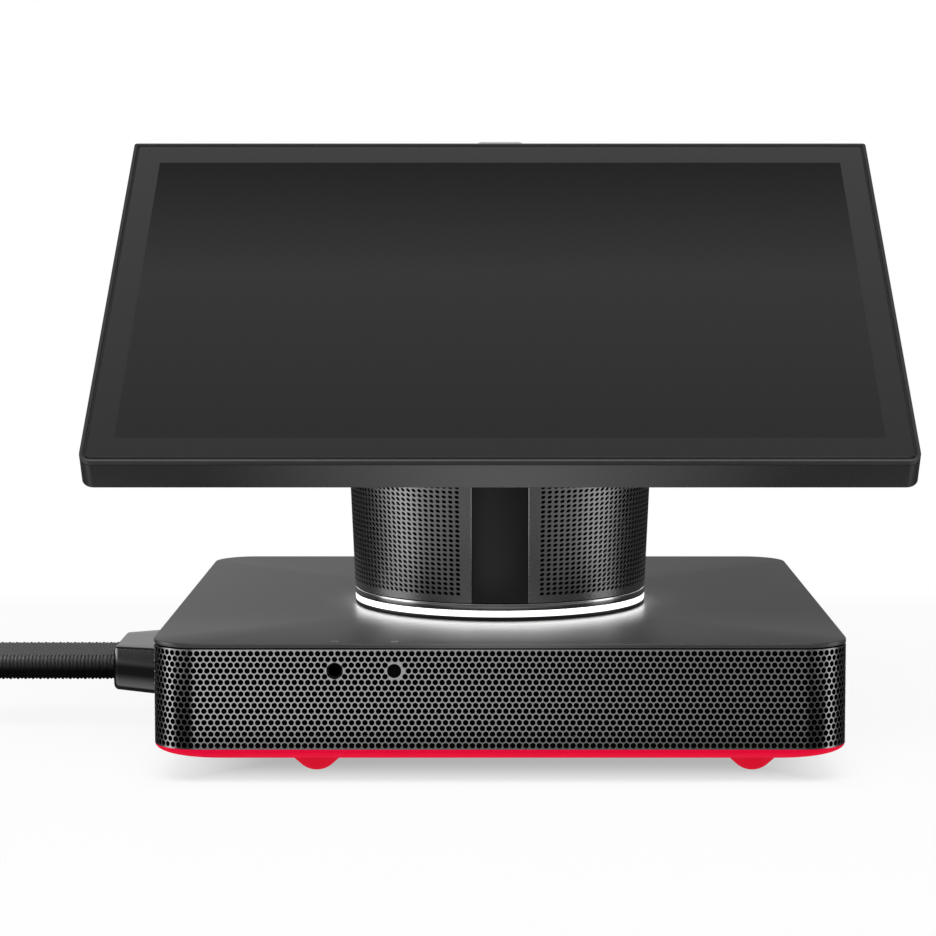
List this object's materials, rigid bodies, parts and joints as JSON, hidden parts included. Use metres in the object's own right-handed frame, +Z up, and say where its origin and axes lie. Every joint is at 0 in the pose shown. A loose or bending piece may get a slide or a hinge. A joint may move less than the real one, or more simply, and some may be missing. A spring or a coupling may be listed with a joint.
{
  "type": "smart display",
  "caption": "Leaning touch display on a round perforated speaker neck that swivels on a square perforated base with a lit ring, a flat side cable and domed feet.",
  "frame": {"origin": "on the swivel axis, in the plane of the tray's flat underside", "axes": "+X to the viewer's right, the longest extent; +Y away from the viewer; +Z up, out of the base"},
  "size_m": [0.2777, 0.19, 0.1792],
  "materials": {
    "red_plastic": "satin",
    "red_rubber": "satin",
    "grille_metal": "satin",
    "deck_paint": "matt",
    "inner_plastic": "matt",
    "fan_plastic": "satin",
    "circuit_board": "satin",
    "cast_aluminium": "satin",
    "steel": "satin",
    "steel_sheet": "satin",
    "spring_steel": "satin",
    "jack_plastic": "satin",
    "switch_metal": "satin",
    "button_plastic": "satin",
    "connector_plastic": "satin",
    "braid": "woven",
    "boot_plastic": "satin",
    "black_trim": "satin",
    "light_diffuser": "frosted",
    "lit_diffuser": "frosted",
    "led_flex": "satin",
    "band_metal": "brushed",
    "bush_plastic": "satin",
    "neck_metal": "satin",
    "strip_gloss": "satin",
    "cone_rubber": "satin",
    "magnet_iron": "satin",
    "housing_plastic": "fine texture",
    "harness_sleeve": "woven",
    "rim_metal": "satin",
    "cover_glass": "polished",
    "lcd": "satin"
  },
  "bodies": {
    "base": {"base_tray": "red_plastic", "tray_screws": "steel", "foot_front_left": "red_rubber", "foot_front_right": "red_rubber", "foot_rear_left": "red_rubber", "foot_rear_right": "red_rubber", "base_grille": "grille_metal", "deck_plate": "deck_paint", "base_frame": "inner_plastic", "main_board": "circuit_board", "heat_sink": "cast_aluminium", "board_screws": "steel", "fan_housing": "inner_plastic", "io_board": "circuit_board", "audio_jack": "jack_plastic", "button_switch": "switch_metal", "cable": "braid", "cable_boot": "boot_plastic", "cable_clamp": "steel_sheet", "cable_clamp_screws": "steel", "cable_plug": "inner_plastic", "cable_socket": "switch_metal", "harness_socket": "connector_plastic", "neck_pedestal": "inner_plastic", "pedestal_screws": "steel", "stop_pin": "steel", "trim_ring": "black_trim", "light_ring": "lit_diffuser", "led_strip": "led_flex", "neck_band": "band_metal", "swivel_bush": "bush_plastic", "wave_washer": "spring_steel"},
    "display": {"swivel_spindle": "cast_aluminium", "swivel_retainer": "spring_steel", "spindle_screws": "steel", "neck_core": "inner_plastic", "speaker_grille_left": "neck_metal", "speaker_grille_right": "neck_metal", "neck_front_strip": "strip_gloss", "neck_rear_strip": "strip_gloss", "speaker_basket_left": "inner_plastic", "speaker_basket_right": "inner_plastic", "speaker_cone_left": "cone_rubber", "speaker_cone_right": "cone_rubber", "speaker_magnet_left": "magnet_iron", "speaker_magnet_right": "magnet_iron", "display_rear_housing": "housing_plastic", "display_bracket": "steel_sheet", "bracket_screws": "steel", "display_board": "circuit_board", "display_board_screws": "steel", "display_harness": "harness_sleeve", "display_frame": "rim_metal", "cover_glass": "cover_glass", "lcd_panel": "lcd", "status_light_bar": "light_diffuser"},
    "power_button": {"power_button": "button_plastic"},
    "fan_rotor": {"fan_rotor": "fan_plastic"}
  },
  "joints": [
    {"name": "display_swivel", "type": "hinge", "parent": "base", "child": "display", "pos_m": [0, 0, 0.0352], "axis": [0, 0, 1], "range_deg": [-170, 170]},
    {"name": "power_button_press", "type": "slide", "parent": "base", "child": "power_button", "axis": [0, 1, 0], "range_m": [0, 0.0005], "stiffness_N_per_m": 3000},
    {"name": "fan_spin", "type": "hinge", "parent": "base", "child": "fan_rotor", "pos_m": [0.054, 0.038, 0.011], "axis": [0, 0, 1], "continuous": true}
  ]
}
